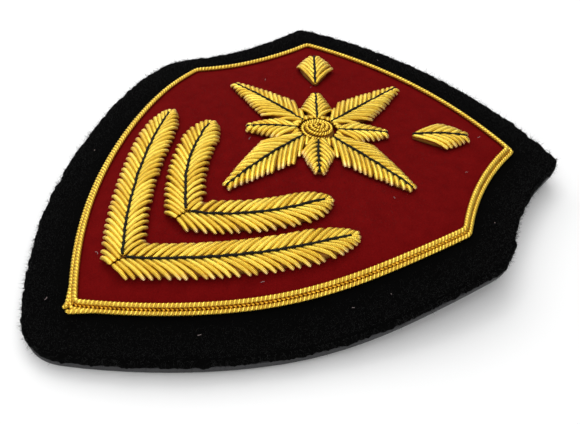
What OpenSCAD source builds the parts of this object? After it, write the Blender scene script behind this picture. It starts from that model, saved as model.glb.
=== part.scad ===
// Shield-shaped embroidered patch lying face up. A raised red field is edged with two gold cords
// and carries padded gold bars: an eight-pointed star, two lozenges and two nested chevrons.
// Everything sits on a black felt shield with a grey backing. Millimetres, +Z up, +Y to the top
// edge, origin on the table below the middle of the patch.

/* [Red field] */
// Height of the red field from its bottom tip to the middle of its top edge
field_h = 78; // [66:1:100]
// Width of the red field across its shoulders
shoulder_w = 64.8; // [58:0.2:84]
// Width of the red field across its two top corners
ear_w = 49.4; // [40:0.2:56]
// Height of the shoulders above the bottom tip
shoulder_rise = 51.5; // [46:0.5:60]
// Drop of the top corners below the middle of the top edge
ear_drop = 3.6; // [1:0.1:6]
// Outward bulge of each long side
side_bulge = 6.1; // [3:0.1:9]
// Inward hollow of each short upper side
scallop = 1.4; // [0.2:0.1:2.4]
// Thickness of the red field at its middle
field_t = 1.6; // [1:0.1:3]

/* [Felt and backing] */
// Black felt showing outside the red field along the long sides
side_margin = 7.6; // [4:0.1:12]
// Black felt showing outside the short upper sides
upper_margin = 7.4; // [4:0.1:12]
// Black felt showing above the top edge
top_margin = 7.2; // [3:0.1:12]
// Length cut off each side of the felt's bottom tip to round it
tip_cut = 6.2; // [1:0.1:6.5]
// Length cut off each side of the felt's shoulders to round them
shoulder_cut = 3.3; // [1:0.1:4.5]
// Length cut off each side of the felt's top corners to round them
ear_cut = 1.4; // [0.5:0.1:4.5]
// Thickness of the black felt
felt_t = 2; // [1:0.1:3]
// Thickness of the grey backing under the felt
backing_t = 1; // [0.6:0.1:2]

/* [Border cords] */
// Diameter of each of the two gold cords
cord_d = 0.75; // [0.5:0.05:1.2]

/* [Star] */
// Least clear red from the star to the top edge, the sides and the upper chevron
star_margin = 2; // [1.4:0.1:5]
// Length of a short ray as a share of a long one
short_ray_share = 0.6; // [0.56:0.01:0.66]
// Width of a long ray as a share of its length
long_ray_w_share = 0.35; // [0.26:0.01:0.4]
// Width of a short ray as a share of its length
short_ray_w_share = 0.41; // [0.3:0.01:0.5]
// Radius of the round boss in the middle as a share of a long ray
boss_share = 0.15; // [0.12:0.01:0.18]
// Height of the round boss
boss_h = 2.2; // [1.2:0.1:3]

/* [Lozenges] */
// Distance from the middle of the star to the middle of a lozenge, as a share of a long ray
lozenge_place_share = 0.98; // [0.94:0.01:1.04]
// Length of a lozenge as a share of a long ray
lozenge_l_share = 0.48; // [0.36:0.01:0.52]
// Width of a lozenge as a share of a long ray
lozenge_w_share = 0.31; // [0.2:0.01:0.36]

/* [Chevrons] */
// Width of a chevron bar
chevron_w = 6.4; // [4:0.1:7]
// Height of the lower chevron's point above the bottom tip
chevron_rise = 9.5; // [8.5:0.1:11]
// Upward step from the lower chevron to the upper one
chevron_step = 12.6; // [11:0.1:14]
// Distance of the lower chevron's ends from the middle line
lower_reach = 22; // [18:0.5:23]
// Distance of the upper chevron's ends from the middle line
upper_reach = 14; // [11:0.5:15]
// Outward bulge of a chevron arm
chevron_bulge = 1.8; // [0:0.1:3]
// Angle of the chevron arms above level, in degrees
chevron_angle = 51.5; // [48:0.5:54]

/* [Padding] */
// Height of the padded gold bars above the red field
pad_h = 1.7; // [1:0.1:2.6]

/* [Bend] */
// Height of the middle of the patch above its lowest edge
crown_rise = 4.2; // [1:0.1:5]
// Drop of the edges below the middle across the patch
edge_drop = 3.6; // [1:0.1:6]
// Lift of the right side over the left side
side_lift = 1.8; // [0:0.1:3]

/* [Hidden] */
// Gap between neighbouring pieces
seam = 0.15;
// Points along a long side, an upper side and the top edge
SIDE_STEPS = 11;
UPPER_STEPS = 5;
TOP_STEPS = 8;
// Points round each felt corner, sides of a cord and points round the boss
CORNER_STEPS = 4;
CORD_SIDES = 8;
BOSS_STEPS = 20;
// Rays of the star, long and short in turn
RAY_COUNT = 8;

// Bend of the patch, a row for each station up the middle line.
// Columns: place as a share of half the felt's height, middle height as a share of crown_rise,
// drop across as a share of edge_drop, lift across as a share of side_lift.
BEND_ROWS = [
    [-1.30, -0.45, 1.20, -0.20],
    [-1.04, -0.08, 1.20, -0.15],
    [-0.45, 0.61, 1.20, -0.10],
    [0.05, 1.00, 0.60, 0.50],
    [0.45, 0.62, 0.36, 1.00],
    [0.95, 0.30, 0.20, 0.75],
    [1.30, 0.08, 0.10, 0.50],
];
// Half the width over which edge_drop and side_lift are reached
bend_half_w = 40;

// Surface of a flat layer, a row for each ring.
// Columns: share of the way from the middle to the edge, thickness as a share of the full one.
FLAT_RINGS = [[0.12, 1], [0.24, 1], [0.37, 1], [0.5, 1], [0.64, 1], [0.78, 1], [0.9, 1], [1, 1]];
// The red field thins towards its edge, where the inner cord lies on it
FIELD_RINGS = [
    [0.15, 1], [0.31, 1], [0.48, 1], [0.65, 1], [0.8, 0.97], [0.91, 0.8], [0.965, 0.5], [1, 0.45],
];
// The boss is a low dome
BOSS_RINGS = [[0.35, 0.93], [0.65, 0.76], [0.88, 0.48], [1, 0.2]];

// Cross-section of a padded bar: two soft ridges that meet at a dip along the middle.
// Columns: place across from -1 to 1, height as a share of the bar's height.
BAR_SECTION = [
    [-1, 0], [-1, 0.32], [-0.8, 0.8], [-0.45, 1], [-0.15, 0.86], [0, 0.55],
    [0.15, 0.86], [0.45, 1], [0.8, 0.8], [1, 0.32], [1, 0],
];
// Ray from its widest place to its tip. Columns: share along, width share, height share.
RAY_TAPER = [[0, 1, 1], [0.35, 0.72, 0.95], [0.7, 0.4, 0.8], [0.93, 0.17, 0.6], [1, 0.08, 0.45]];
// Lozenge from end to end. Columns: share along, width share, height share.
LOZENGE_ROWS = [
    [0, 0.1, 0.5], [0.1, 0.32, 0.7], [0.3, 0.74, 0.92], [0.5, 1, 1],
    [0.7, 0.74, 0.92], [0.9, 0.32, 0.7], [1, 0.1, 0.5],
];
// Chevron arm from its point to its end. Columns: share along, width share, height share.
ARM_ROWS = [
    [0.17, 1, 1], [0.34, 1, 1], [0.5, 1, 1], [0.66, 1, 1], [0.8, 0.96, 1],
    [0.9, 0.8, 0.95], [0.97, 0.5, 0.8], [1, 0.25, 0.6],
];

GOLD = "goldenrod";

// Small vector helpers
function unit(v) = v / norm(v);
function outward(v) = [v.y, -v.x];
function blend(a, b, share) = a + (b - a) * share;
function mirrored(path) = [for (i = [len(path) - 1:-1:0]) [-path[i].x, path[i].y]];
function repeated(value, count) = [for (i = [1:count]) value];

// Points from a to b, without b, on a line that bulges outward by a given height
function bulged(a, b, bulge, steps) =
    let (side = outward(unit(b - a)))
    [for (i = [0:steps - 1]) bulged_point(a, b, bulge, side, i / steps)];
function bulged_point(a, b, bulge, side, share) =
    a + (b - a) * share
    + side * bulge * 4 * share * (1 - share);

// Path with each edge moved outward by its own distance, corners kept sharp
function moved(path, distances) =
    let (
        last = len(path) - 1,
        sides = [for (i = [0:last]) outward(unit(path[i == last ? 0 : i + 1] - path[i]))]
    )
    [for (i = [0:last]) let (before = i == 0 ? last : i - 1)
        path[i] + corner_shift(sides[before], sides[i], distances[before], distances[i])];
function corner_shift(a, b, move_a, move_b) =
    let (turn = a * b)
    move_a == move_b
        ? (a + b) * move_a / (1 + turn)
        : (a * (move_a - turn * move_b) + b * (move_b - turn * move_a)) / (1 - turn * turn);

// Path with some points replaced by short curves, from a list of [place, length cut off]
function rounded(path, corners) =
    [for (i = [0:len(path) - 1]) let (cut = cut_at(i, corners)) each
        cut == 0
            ? [path[i]]
            : corner_curve(path[i], path[i == 0 ? len(path) - 1 : i - 1], path[i + 1], cut)];
function cut_at(place, corners) =
    max([for (corner = corners) corner[0] == place ? corner[1] : 0]);
function corner_curve(corner, before, after, cut) =
    let (a = corner + unit(before - corner) * cut, b = corner + unit(after - corner) * cut)
    [for (k = [0:CORNER_STEPS]) let (s = k / CORNER_STEPS)
        blend(blend(a, corner, s), blend(corner, b, s), s)];

// Outline of the red field, counter-clockwise from its bottom tip at y = 0
shoulder = [shoulder_w / 2, shoulder_rise];
ear = [ear_w / 2, field_h - ear_drop];
right_side = concat(
    bulged([0, 0], shoulder, side_bulge, SIDE_STEPS),
    bulged(shoulder, ear, -scallop, UPPER_STEPS));
top_edge = [for (i = [0:TOP_STEPS - 1]) let (x = ear.x * (1 - 2 * i / TOP_STEPS))
    [x, field_h - ear_drop * pow(x / ear.x, 2)]];
left_side = mirrored([for (i = [1:len(right_side) - 1]) right_side[i]]);
raw_field = concat(right_side, top_edge, [[-ear.x, ear.y]], left_side);

// Outline of the felt, and the shift that centres it on the origin
felt_margins = concat(
    repeated(side_margin, SIDE_STEPS), repeated(upper_margin, UPPER_STEPS),
    repeated(top_margin, TOP_STEPS), repeated(upper_margin, UPPER_STEPS),
    repeated(side_margin, SIDE_STEPS));
SHOULDER_RIGHT = SIDE_STEPS;
EAR_RIGHT = SHOULDER_RIGHT + UPPER_STEPS;
EAR_LEFT = EAR_RIGHT + TOP_STEPS;
SHOULDER_LEFT = EAR_LEFT + UPPER_STEPS;
felt_corners = [
    [0, tip_cut], [SHOULDER_RIGHT, shoulder_cut], [EAR_RIGHT, ear_cut],
    [EAR_LEFT, ear_cut], [SHOULDER_LEFT, shoulder_cut],
];
raw_felt = rounded(moved(raw_field, felt_margins), felt_corners);
felt_ys = [for (p = raw_felt) p.y];
felt_half_h = (max(felt_ys) - min(felt_ys)) / 2;
tip = [0, -(max(felt_ys) + min(felt_ys)) / 2];
field_edge = [for (p = raw_field) p + tip];
felt_edge = [for (p = raw_felt) p + tip];

// The star sits where the field is widest, and is as large as its margin lets it be
chevron_top = chevron_rise + chevron_step + chevron_w / 2 / cos(chevron_angle);
star_centre = tip + [0, shoulder_rise];
long_ray = min(field_h - shoulder_rise, shoulder_w / 2, shoulder_rise - chevron_top) - star_margin;
short_ray = long_ray * short_ray_share;
boss_r = long_ray * boss_share;

// Bend at a place, on a smooth curve through the rows; the first and last rows only steer its ends
function bend_row(y) = smooth_row(y / felt_half_h, row_below(y / felt_half_h));
function row_below(place) =
    max([for (i = [1:len(BEND_ROWS) - 3]) BEND_ROWS[i][0] <= place || i == 1 ? i : 1]);
function smooth_row(place, i) =
    let (
        a = BEND_ROWS[i - 1], b = BEND_ROWS[i], c = BEND_ROWS[i + 1], d = BEND_ROWS[i + 2],
        s = (place - b[0]) / (c[0] - b[0]),
        rise_b = (c - a) * (c[0] - b[0]) / (c[0] - a[0]),
        rise_c = (d - b) * (c[0] - b[0]) / (d[0] - b[0])
    )
    b * (1 - 3 * s * s + 2 * s * s * s) + c * (3 * s * s - 2 * s * s * s)
        + rise_b * (s - 2 * s * s + s * s * s) + rise_c * (s * s * s - s * s);
function raw_bend(p) =
    let (row = bend_row(p.y), across = p.x / bend_half_w)
    crown_rise * row[1] - edge_drop * row[2] * across * across + side_lift * row[3] * across;

// Undersides of the layers, with the backing's lowest edge on the table
lowest = min([for (p = felt_edge) raw_bend(p)]);
function backing_base(p) = raw_bend(p) - lowest;
function felt_base(p) = backing_base(p) + backing_t + seam;
function field_base(p) = felt_base(p) + felt_t + seam;
function bar_base(p) = field_base(p) + field_t + seam;

// Triangles between two closed rings of points, listed by their first numbers
function ring_faces(first, second, count) =
    [for (i = [0:count - 1]) let (j = (i + 1) % count) each
        [[first + i, second + i, second + j], [first + i, second + j, first + j]]];

// Layer of a closed outline that lies on a curved base
module layer(edge, centre, base, thickness, rings) {
    count = len(edge);
    last = len(rings) - 1;
    places = [for (row = rings) each [for (p = edge) blend(centre, p, row[0])]];
    lower = concat([for (p = places) [p.x, p.y, base(p)]], [[centre.x, centre.y, base(centre)]]);
    lifts = concat([for (row = rings) each repeated(thickness * row[1], count)], [thickness]);
    upper = [for (i = [0:len(lower) - 1]) lower[i] + [0, 0, lifts[i]]];
    top = len(lower);
    middle = top - 1;
    top_faces = concat(
        [for (i = [0:count - 1]) [top + middle, top + (i + 1) % count, top + i]],
        [for (k = [0:1:last - 1]) each ring_faces(top + (k + 1) * count, top + k * count, count)]);
    low_faces = concat(
        [for (i = [0:count - 1]) [middle, i, (i + 1) % count]],
        [for (k = [0:1:last - 1]) each ring_faces(k * count, (k + 1) * count, count)]);
    wall_faces = ring_faces(last * count, top + last * count, count);
    polyhedron(concat(lower, upper), concat(top_faces, low_faces, wall_faces));
}

// Round cord along the field's outline, moved out from it, its middle above the felt
module cord(out, rise) {
    count = len(field_edge);
    turns = [for (k = [0:CORD_SIDES - 1]) 360 * k / CORD_SIDES];
    line = moved(field_edge, repeated(out, count));
    rings = [for (turn = turns) each
        let (path = moved(field_edge, repeated(out + cord_d / 2 * cos(turn), count)))
        [for (i = [0:count - 1])
            [path[i].x, path[i].y, field_base(line[i]) + rise + cord_d / 2 * sin(turn)]]];
    faces = [for (k = [0:CORD_SIDES - 1]) each
        ring_faces(k * count, ((k + 1) % CORD_SIDES) * count, count)];
    polyhedron(rings, faces);
}

// Padded bar through rows of [one edge, other edge, height share], on the red field
module bar(rows) {
    count = len(BAR_SECTION);
    last = len(rows) - 1;
    points = [for (row = rows) each [for (cut = BAR_SECTION)
        let (p = blend(row[0], row[1], (cut[0] + 1) / 2))
        [p.x, p.y, bar_base(p) + pad_h * row[2] * cut[1]]]];
    sides = [for (k = [0:last - 1]) each ring_faces(k * count, (k + 1) * count, count)];
    start = [[for (i = [0:count - 1]) i]];
    end = [[for (i = [count - 1:-1:0]) last * count + i]];
    polyhedron(points, concat(sides, start, end));
}

// Row of a straight bar at a distance along a direction
function bar_row(origin, direction, distance, half_w, height) =
    let (p = origin + direction * distance, side = outward(direction) * half_w)
    [p - side, p + side, height];

// Ray that fills its share of the star up to its widest place, then tapers to its tip
module ray(turn, reach, width) {
    direction = [sin(turn), cos(turn)];
    root = boss_r + seam;
    half_turn = 180 / RAY_COUNT;
    root_half = root * tan(half_turn) - seam;
    widest = (width / 2 + seam) / tan(half_turn);
    root_height = 0.9;
    bar(concat(
        [bar_row(star_centre, direction, root, root_half, root_height)],
        [for (row = RAY_TAPER)
            bar_row(star_centre, direction, blend(widest, reach, row[0]), width / 2 * row[1], row[2])]));
}

// Lozenge between two long rays, to the left (-1) or the right (1)
module lozenge(hand) {
    direction = unit([hand, 1]);
    centre = star_centre + direction * long_ray * lozenge_place_share;
    half_w = long_ray * lozenge_w_share / 2;
    color(GOLD) bar([for (row = LOZENGE_ROWS)
        let (along = long_ray * lozenge_l_share * (row[0] - 0.5))
        bar_row(centre, direction, along, half_w * row[1], row[2])]);
}

// Left (-1) or right (1) arm of a chevron, from the middle line out and up
module chevron_arm(hand, rise, reach) {
    start = tip + [seam, rise];
    end = start + [reach, reach * tan(chevron_angle)];
    side = outward(unit(end - start));
    drop = [0, -chevron_w / 2 / cos(chevron_angle)];
    first = [start + drop, start - drop, 1];
    rest = [for (row = ARM_ROWS) let (
            p = bulged_point(start, end, chevron_bulge, side, row[0]),
            half = side * chevron_w / 2 * row[1])
        [p + half, p - half, row[2]]];
    rows = [for (row = concat([first], rest))
        hand > 0 ? [row[1], row[0], row[2]] : [in_mirror(row[0]), in_mirror(row[1]), row[2]]];
    color(GOLD) bar(rows);
}
function in_mirror(p) = [-p.x, p.y];

module lower_arm(hand) {
    chevron_arm(hand, chevron_rise, lower_reach);
}

module upper_arm(hand) {
    chevron_arm(hand, chevron_rise + chevron_step, upper_reach);
}

module backing() {
    color("dimgray") layer(felt_edge, [0, 0], function (p) backing_base(p), backing_t, FLAT_RINGS);
}

module felt() {
    color("black") layer(felt_edge, [0, 0], function (p) felt_base(p), felt_t, FLAT_RINGS);
}

module field() {
    color("darkred") layer(field_edge, [0, 0], function (p) field_base(p), field_t, FIELD_RINGS);
}

// The outer cord lies on the felt beside the field, the inner one on the field's thin edge
module cord_outer() {
    color(GOLD) cord(seam + cord_d / 2, cord_d / 2);
}

module cord_inner() {
    rim_t = field_t * FIELD_RINGS[len(FIELD_RINGS) - 1][1];
    color(GOLD) cord(-cord_d / 2, rim_t + seam + cord_d / 2);
}

module star_boss() {
    edge = [for (i = [0:BOSS_STEPS - 1]) let (turn = 360 * i / BOSS_STEPS)
        star_centre + boss_r * [cos(turn), sin(turn)]];
    color(GOLD) layer(edge, star_centre, function (p) bar_base(p), boss_h, BOSS_RINGS);
}

// Rays are numbered clockwise from the top one
module star_ray(place) {
    turn = 360 / RAY_COUNT * place;
    color(GOLD) if (place % 2 == 0) ray(turn, long_ray, long_ray * long_ray_w_share);
        else ray(turn, short_ray, short_ray * short_ray_w_share);
}

backing();
felt();
field();
cord_outer();
cord_inner();
star_boss();
star_ray(0);  // ray_n
star_ray(1);  // ray_ne
star_ray(2);  // ray_e
star_ray(3);  // ray_se
star_ray(4);  // ray_s
star_ray(5);  // ray_sw
star_ray(6);  // ray_w
star_ray(7);  // ray_nw
lozenge(-1);  // lozenge_left
lozenge(1);  // lozenge_right
lower_arm(-1);  // chevron_lower_left
lower_arm(1);  // chevron_lower_right
upper_arm(-1);  // chevron_upper_left
upper_arm(1);  // chevron_upper_right
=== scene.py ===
"""Dress a shield-shaped embroidered patch: black felt, red field, coiled gold border and laid gold purl.

Sizes are millimetres, as in the part's own source, and turn into metres when a mesh is made.
"""

from __future__ import annotations

import logging
import math
from collections.abc import Callable, Iterator
from dataclasses import dataclass, field
from enum import Enum
from functools import cache

import bmesh
import bpy
import numpy as np
from mathutils import Matrix, Vector


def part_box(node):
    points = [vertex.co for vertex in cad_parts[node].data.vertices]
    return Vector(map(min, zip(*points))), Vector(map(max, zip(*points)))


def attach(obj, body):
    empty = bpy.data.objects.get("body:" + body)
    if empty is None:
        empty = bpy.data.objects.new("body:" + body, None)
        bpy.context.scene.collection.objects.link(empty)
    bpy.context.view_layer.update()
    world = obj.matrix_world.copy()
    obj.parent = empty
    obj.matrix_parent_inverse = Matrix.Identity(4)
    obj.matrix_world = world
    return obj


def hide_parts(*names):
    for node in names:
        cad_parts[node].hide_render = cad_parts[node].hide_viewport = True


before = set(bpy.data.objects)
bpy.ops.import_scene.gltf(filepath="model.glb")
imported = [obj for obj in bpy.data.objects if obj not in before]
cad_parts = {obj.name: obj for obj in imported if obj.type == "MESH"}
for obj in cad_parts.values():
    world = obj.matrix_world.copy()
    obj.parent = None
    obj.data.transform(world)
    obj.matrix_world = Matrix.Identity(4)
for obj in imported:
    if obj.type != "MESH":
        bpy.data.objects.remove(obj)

Pair = tuple[float, float]
Triple = tuple[float, float, float]
Rows = tuple[tuple[float, ...], ...]

LOG = logging.getLogger("patch")
# Metres in a millimetre, the gap that pieces keep, and what all random numbers start from
MM = 0.001
SEAM = 0.15
SEED = 41


class Slot(Enum):
    """Material slots of the record."""

    BACKING = "backing_cloth"
    FELT = "black_felt"
    FIELD = "red_cloth"
    CORD = "gold_cord"
    PURL = "gold_purl"


class Hand(Enum):
    """Side of the middle line that a piece lies on."""

    LEFT = -1
    RIGHT = 1


# Lines and tables


def unit(vectors: np.ndarray) -> np.ndarray:
    """Return the vectors at length one."""
    return vectors / np.maximum(np.linalg.norm(vectors, axis=-1, keepdims=True), 1e-12)


def run_lengths(line: np.ndarray) -> np.ndarray:
    """Return the distance along a line at each of its points."""
    steps = np.linalg.norm(np.diff(line, axis=0), axis=1)
    return np.concatenate([[0], np.cumsum(steps)])


def sampled(places: np.ndarray, stations: np.ndarray, rows: np.ndarray) -> np.ndarray:
    """Return the rows that belong to stations along a line, worked out for places between them."""
    return np.stack([np.interp(places, stations, column) for column in rows.T], axis=-1)


def looked_up(table: Rows | np.ndarray, place: np.ndarray, column: int = 1) -> np.ndarray:
    """Return a column of a table for places between those in its first column."""
    rows = np.asarray(table, float)
    return np.interp(place, rows[:, 0], rows[:, column])


def smoothed(values: np.ndarray) -> np.ndarray:
    """Return the mean of every five neighbours."""
    return np.convolve(values, np.full(5, 0.2), mode="valid")


def wander(random: np.random.Generator, count: int, reach: int) -> np.ndarray:
    """Draw smooth random numbers in a ring.

    Args:
        random: Source of the numbers.
        count: How many.
        reach: How many neighbours each number is smoothed over.

    Returns:
        The numbers, spread about 0 by 1.
    """
    rough = random.normal(0, 1, count)
    ring = np.concatenate([rough[-reach:], rough, rough[:reach]])
    smooth = np.convolve(ring, np.hanning(2 * reach + 1), "valid")
    return smooth / smooth.std()


def bulged(start: np.ndarray, end: np.ndarray, bulge: float, steps: int) -> np.ndarray:
    """Draw a line that bulges to its right.

    Args:
        start: First point.
        end: Last point, which is left out of the result.
        bulge: Height of the bulge at the middle.
        steps: Number of points.

    Returns:
        The points, one to a row.
    """
    share = np.linspace(0, 1, steps, endpoint=False)[:, None]
    along = end - start
    side = unit(np.array([along[1], -along[0]]))
    return start + along * share + side * bulge * 4 * share * (1 - share)


@dataclass
class Path:
    """A line in the plane, sampled evenly, with its normals.

    Attributes:
        points: Points of the line, one to a row.
        closed: Whether the last point joins the first.
        length: Its full length.
        stations: Distance along it at each point, and at its end where it is closed.
    """

    points: np.ndarray
    closed: bool = True
    length: float = field(init=False)
    stations: np.ndarray = field(init=False)

    def __post_init__(self) -> None:
        """Measure the line."""
        self._run = np.vstack([self.points, self.points[:1]]) if self.closed else self.points
        self.stations = run_lengths(self._run)
        self.length = float(self.stations[-1])

    def at(self, distance: np.ndarray) -> np.ndarray:
        """Return the points at these distances along the line, carried straight on past an open end.

        Args:
            distance: Distances from the line's start.

        Returns:
            The points, in an array of the distances' shape.
        """
        distance = np.asarray(distance, float)
        inside = distance % self.length if self.closed else np.clip(distance, 0, self.length)
        found = sampled(inside, self.stations, self._run)
        if self.closed:
            return found
        over = (distance - inside)[..., None]
        first = unit(self._run[1] - self._run[0])
        last = unit(self._run[-1] - self._run[-2])
        return found + np.where(over < 0, over * first, over * last)

    def direction(self, distance: np.ndarray, reach: float = 0.2) -> np.ndarray:
        """Return the unit directions of the line at these distances."""
        distance = np.asarray(distance, float)
        return unit(self.at(distance + reach) - self.at(distance - reach))

    def outward(self, distance: np.ndarray, reach: float = 0.2) -> np.ndarray:
        """Return the unit normals on the right of the line at these distances."""
        along = self.direction(distance, reach)
        return np.stack([along[..., 1], -along[..., 0]], axis=-1)

    def resampled(self, count: int) -> Path:
        """Return the same line through evenly spaced points."""
        return Path(self.at(np.linspace(0, self.length, count, endpoint=not self.closed)), self.closed)

    def moved(self, corners: list[int], distances: list[float]) -> Path:
        """Move each stretch between two corners outward by its own distance, and keep the corners sharp.

        Args:
            corners: Numbers of the points at the corners, in order, starting with 0.
            distances: Outward distance of the stretch after each corner.

        Returns:
            The moved line.
        """
        own = np.zeros((len(self.points), 1))
        for place, distance in zip(corners, distances):
            own[place:] = distance
        sides = np.roll(self.points, -1, axis=0) - self.points
        sides = unit(np.stack([sides[:, 1], -sides[:, 0]], axis=1))
        before, was = np.roll(sides, 1, axis=0), np.roll(own, 1)
        turn = (sides * before).sum(1)[:, None]
        plain = (sides + before) * own / (1 + turn)
        spread = np.maximum(1 - turn**2, 1e-9)
        mixed = (before * (was - turn * own) + sides * (own - turn * was)) / spread
        return Path(self.points + np.where(np.isclose(was, own), plain, mixed))

    def softened(self, corners: list[int], cuts: list[float]) -> Path:
        """Round some corners, by taking the mean of the line over a reach that grows towards each.

        Args:
            corners: Numbers of the points at the corners.
            cuts: Length cut off each side of each corner.

        Returns:
            The rounded line, sampled evenly.
        """
        count, least, fade = 4096, 1e-3, 0.6
        places = np.linspace(0, self.length, count, endpoint=False)
        reach = np.full(count, least)
        for corner, cut in zip(corners, cuts):
            away = np.abs(places - self.stations[corner])
            away = np.minimum(away, self.length - away)
            reach = np.maximum(reach, cut * np.clip(((1 + fade) * cut - away) / (fade * cut), 0, 1))
        fine = np.linspace(-self.length, 2 * self.length, 3 * count + 1)
        line = self.at(fine)
        step = fine[1] - fine[0]
        total = np.vstack([[0, 0], np.cumsum((line[1:] + line[:-1]) / 2 * step, axis=0)])
        gained = sampled(places + reach, fine, total) - sampled(places - reach, fine, total)
        return Path(gained / (2 * reach[:, None]))


# Form of the patch


@dataclass
class Shield:
    """Outlines and bend that all the layers share, as the part's source draws them.

    Attributes:
        field_h: Height of the red field.
        shoulder_w: Width of the red field across its shoulders.
        ear_w: Width of the red field across its top corners.
        shoulder_rise: Height of the shoulders above the bottom tip.
        ear_drop: Drop of the top corners below the middle of the top edge.
        side_bulge: Outward bulge of a long side.
        scallop: Inward hollow of a short upper side.
        margins: Felt outside the long sides, the upper sides and the top edge.
        cuts: Length cut off at the felt's tip, shoulders and top corners.
        layers: Thickness of the backing, the felt and the field.
        crown_rise: Height of the middle above the lowest edge.
        edge_drop: Drop of the edges below the middle.
        side_lift: Lift of the right side over the left.
        half_w: Half the width over which the drop and the lift are reached.
        bend_rows: Place up the middle line as a share of half the height, and there the middle's
            height, the drop and the lift as shares of the sizes above.
        steps: Points on a long side, an upper side and the top edge.
    """

    field_h: float = 78
    shoulder_w: float = 64.8
    ear_w: float = 49.4
    shoulder_rise: float = 51.5
    ear_drop: float = 3.6
    side_bulge: float = 6.1
    scallop: float = 1.4
    margins: Triple = (7.6, 7.4, 7.2)
    cuts: Triple = (6.2, 3.3, 1.4)
    layers: Triple = (1.0, 2.0, 1.6)
    crown_rise: float = 4.2
    edge_drop: float = 3.6
    side_lift: float = 1.8
    half_w: float = 40
    # Columns: place, middle height, drop across, lift across
    bend_rows: Rows = (
        (-1.30, -0.45, 1.20, -0.20),
        (-1.04, -0.08, 1.20, -0.15),
        (-0.45, 0.61, 1.20, -0.10),
        (0.05, 1.00, 0.60, 0.50),
        (0.45, 0.62, 0.36, 1.00),
        (0.95, 0.30, 0.20, 0.75),
        (1.30, 0.08, 0.10, 0.50),
    )
    steps: tuple[int, int, int] = (88, 40, 64)

    def __post_init__(self) -> None:
        """Work out the outlines and where the patch rests."""
        self.tip = np.array([0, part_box("field")[0].y / MM])
        self.half_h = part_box("felt")[1].y / MM
        raw, self.corners = self._raw_field()
        self.field_raw = Path(raw + self.tip)
        side, upper, top = self.margins
        felt = self.field_raw.moved(self.corners, [side, upper, top, upper, side])
        tip, shoulder, ear = self.cuts
        self.felt_edge = felt.softened(self.corners, [tip, shoulder, ear, ear, shoulder])
        self.field_edge = self.border(0, 0.5)
        self.lowest = 0.0
        self.lowest = float(self.underside(self.felt_edge.points).min())
        self.star_centre = self.tip + [0, self.shoulder_rise]

    def _raw_field(self) -> tuple[np.ndarray, list[int]]:
        """Draw the field's sharp outline from its tip at zero.

        Returns:
            The points, and the numbers of the points at its five corners.
        """
        side, upper, top = self.steps
        shoulder = np.array([self.shoulder_w / 2, self.shoulder_rise])
        ear = np.array([self.ear_w / 2, self.field_h - self.ear_drop])
        long_side = bulged(np.zeros(2), shoulder, self.side_bulge, side)
        right = np.vstack([long_side, bulged(shoulder, ear, -self.scallop, upper)])
        x = ear[0] * (1 - 2 * np.arange(top) / top)
        edge = np.stack([x, self.field_h - self.ear_drop * (x / ear[0]) ** 2], axis=1)
        left = right[:0:-1] * [-1, 1]
        points = np.vstack([right, edge, ear * [-1, 1], left])
        return points, np.cumsum([0, side, upper, top, upper]).tolist()

    def border(self, out: float, cut: float) -> Path:
        """Return the field's outline moved outward, with the same length cut off each side of a corner."""
        line = self.field_raw.moved(self.corners, [out] * len(self.corners))
        return line.softened(self.corners, [cut] * len(self.corners))

    def underside(self, points: np.ndarray) -> np.ndarray:
        """Return how high the backing's underside is over the table.

        Args:
            points: Points in the plane.

        Returns:
            The heights. Up the middle line they follow a smooth curve through the rows of the bend.
        """
        rows = np.array(self.bend_rows)
        place = np.asarray(points)[..., 1] / self.half_h
        low = np.clip(np.searchsorted(rows[:, 0], place, side="right") - 1, 1, len(rows) - 3)
        a, b, c, d = (rows[low + k] for k in (-1, 0, 1, 2))
        span = c[..., :1] - b[..., :1]
        s = (place[..., None] - b[..., :1]) / span
        rise_b = (c - a) * span / (c[..., :1] - a[..., :1])
        rise_c = (d - b) * span / (d[..., :1] - b[..., :1])
        row = (
            b * (1 - 3 * s**2 + 2 * s**3)
            + c * (3 * s**2 - 2 * s**3)
            + rise_b * (s - 2 * s**2 + s**3)
            + rise_c * (s**3 - s**2)
        )
        across = np.asarray(points)[..., 0] / self.half_w
        return (
            self.crown_rise * row[..., 1]
            - self.edge_drop * row[..., 2] * across**2
            + self.side_lift * row[..., 3] * across
            - self.lowest
        )

    def felt_base(self, points: np.ndarray) -> np.ndarray:
        """Return the height of the felt's underside at these points."""
        return self.underside(points) + self.layers[0] + SEAM

    def field_base(self, points: np.ndarray) -> np.ndarray:
        """Return the height of the red field's underside at these points."""
        return self.felt_base(points) + self.layers[1] + SEAM

    def bar_base(self, points: np.ndarray) -> np.ndarray:
        """Return the height that the gold bars stand on at these points."""
        return self.field_base(points) + self.layers[2] + SEAM


# Shader maths


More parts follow.
